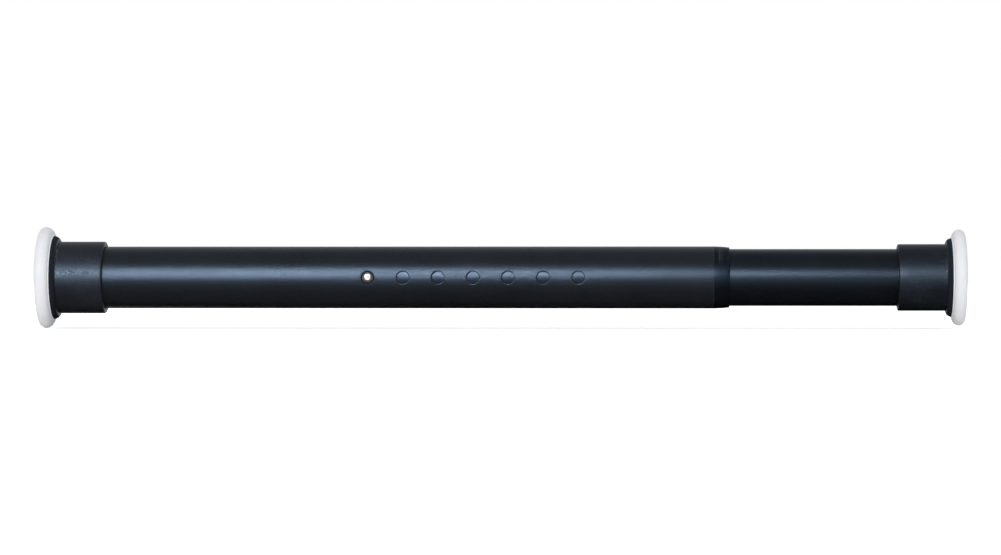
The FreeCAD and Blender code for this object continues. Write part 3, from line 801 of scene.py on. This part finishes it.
def pale_floor():
    """Plain pale floor: white to the camera, an ordinary pale matt surface to everything else."""
    bm = bmesh.new()
    bmesh.ops.create_grid(bm, x_segments=1, y_segments=1, size=FLOOR_SIZE)
    floor = mesh_object(bm, "floor")
    floor.location = FLOOR_PLACE
    material = bpy.data.materials.new("floor")
    material.use_nodes = True
    material.node_tree.nodes.clear()
    n = Nodes(material.node_tree)
    rays = n.add("ShaderNodeLightPath").outputs
    mirrored = n.math("ADD", rays["Is Glossy Ray"], rays["Is Transmission Ray"])
    unseen = n.math("MULTIPLY_ADD", mirrored, 0.12, n.times(rays["Is Diffuse Ray"], 0.22))
    reach = n.add("ShaderNodeVectorMath", operation="LENGTH")
    n.link(n.place, reach.inputs[0])
    seen = n.times(rays["Is Camera Ray"], n.spread(reach.outputs["Value"], 0.25, 0.9, 0.50, 1.0))
    glow = n.add("ShaderNodeEmission")
    n.link(n.math("ADD", unseen, seen), glow.inputs["Strength"])
    matt = n.add("ShaderNodeBsdfDiffuse")
    matt.inputs["Color"].default_value = (0.80, 0.79, 0.78, 1)
    both = n.add("ShaderNodeAddShader")
    n.link(matt.outputs[0], both.inputs[0])
    n.link(glow.outputs[0], both.inputs[1])
    n.link(both.outputs[0], n.add("ShaderNodeOutputMaterial").inputs["Surface"])
    floor.data.materials.append(material)


def floor_flag():
    """Card on the floor before the rod, for reflections alone: black near the rod, grey further out."""
    bm = bmesh.new()
    for x, y in FLAG_CORNERS:
        bm.verts.new((x, y, FLAG_Z))
    bm.faces.new(bm.verts)
    flag = mesh_object(bm, "flag")
    n = Finish("flag")
    n.colour(n.spread(n.axis("Y"), -0.03, -0.09, 0.010, 0.24))
    n.fixed(Roughness=1, Specular_IOR_Level=0)
    flag.data.materials.append(n.material)
    flag.visible_camera = False
    flag.visible_diffuse = False
    flag.visible_transmission = False
    flag.visible_shadow = False


def studio_world():
    """Pale surroundings: white to the camera, soft as light, and mirrored darker on the camera's side."""
    world = bpy.data.worlds.new("studio")
    bpy.context.scene.world = world
    world.use_nodes = True
    world.node_tree.nodes.clear()
    n = Nodes(world.node_tree, "Generated")
    rays = n.add("ShaderNodeLightPath").outputs
    soft = n.add("ShaderNodeBackground")
    soft.inputs["Color"].default_value = (0.95, 0.97, 1.0, 1)
    soft.inputs["Strength"].default_value = WORLD_LIGHT
    behind = n.math("POWER", n.spread(n.axis("Y"), -0.1, 1.0, 0, 1), 3.2)
    mirrored = n.math("MULTIPLY_ADD", behind, MIRRORED_BEHIND - MIRRORED_BEFORE, MIRRORED_BEFORE)
    white = n.add("ShaderNodeBackground")
    white.inputs["Color"].default_value = (1, 1, 1, 1)
    n.link(n.math("MAXIMUM", rays["Is Camera Ray"], mirrored), white.inputs["Strength"])
    shown = n.math("ADD", rays["Is Camera Ray"], rays["Is Glossy Ray"])
    shown = n.math("ADD", shown, rays["Is Transmission Ray"])
    mix = n.add("ShaderNodeMixShader")
    n.link(shown, mix.inputs[0])
    n.link(soft.outputs[0], mix.inputs[1])
    n.link(white.outputs[0], mix.inputs[2])
    n.link(mix.outputs[0], n.add("ShaderNodeOutputWorld").inputs["Surface"])


def stand(name, data, place, aim):
    """A lamp or camera at a place, turned to face another."""
    obj = bpy.data.objects.new(name, data)
    obj.location = place
    obj.rotation_euler = (Vector(aim) - Vector(place)).to_track_quat("-Z", "Y").to_euler()
    bpy.context.scene.collection.objects.link(obj)
    return obj


def softbox(name, place, aim, width, height, power):
    """A white rectangular lamp."""
    lamp = bpy.data.lights.new(name, "AREA")
    lamp.shape = "RECTANGLE"
    lamp.size = width
    lamp.size_y = height
    lamp.energy = power
    return stand(name, lamp, place, aim)


pale_floor()
floor_flag()
studio_world()
softbox("key", place=(0.05, -1.58, 0.455), aim=(0.16, 0, 0), width=0.95, height=0.26, power=9.0)
# This one shows in reflections alone
strip = softbox("strip", place=(-0.34, -1.60, 0.460), aim=(0.05, 0, 0), width=0.80, height=0.24, power=8.5)
strip.visible_diffuse = False

middle = LENGTH / 2 * MM
data = bpy.data.cameras.new("camera")
data.lens = CAMERA_LENS
data.sensor_width = 36
camera = stand("camera", data, (middle + CAMERA_ASIDE, -CAMERA_AWAY, 0), (middle, 0, 0))
bpy.context.scene.camera = camera
bpy.context.scene.view_settings.view_transform = "Standard"
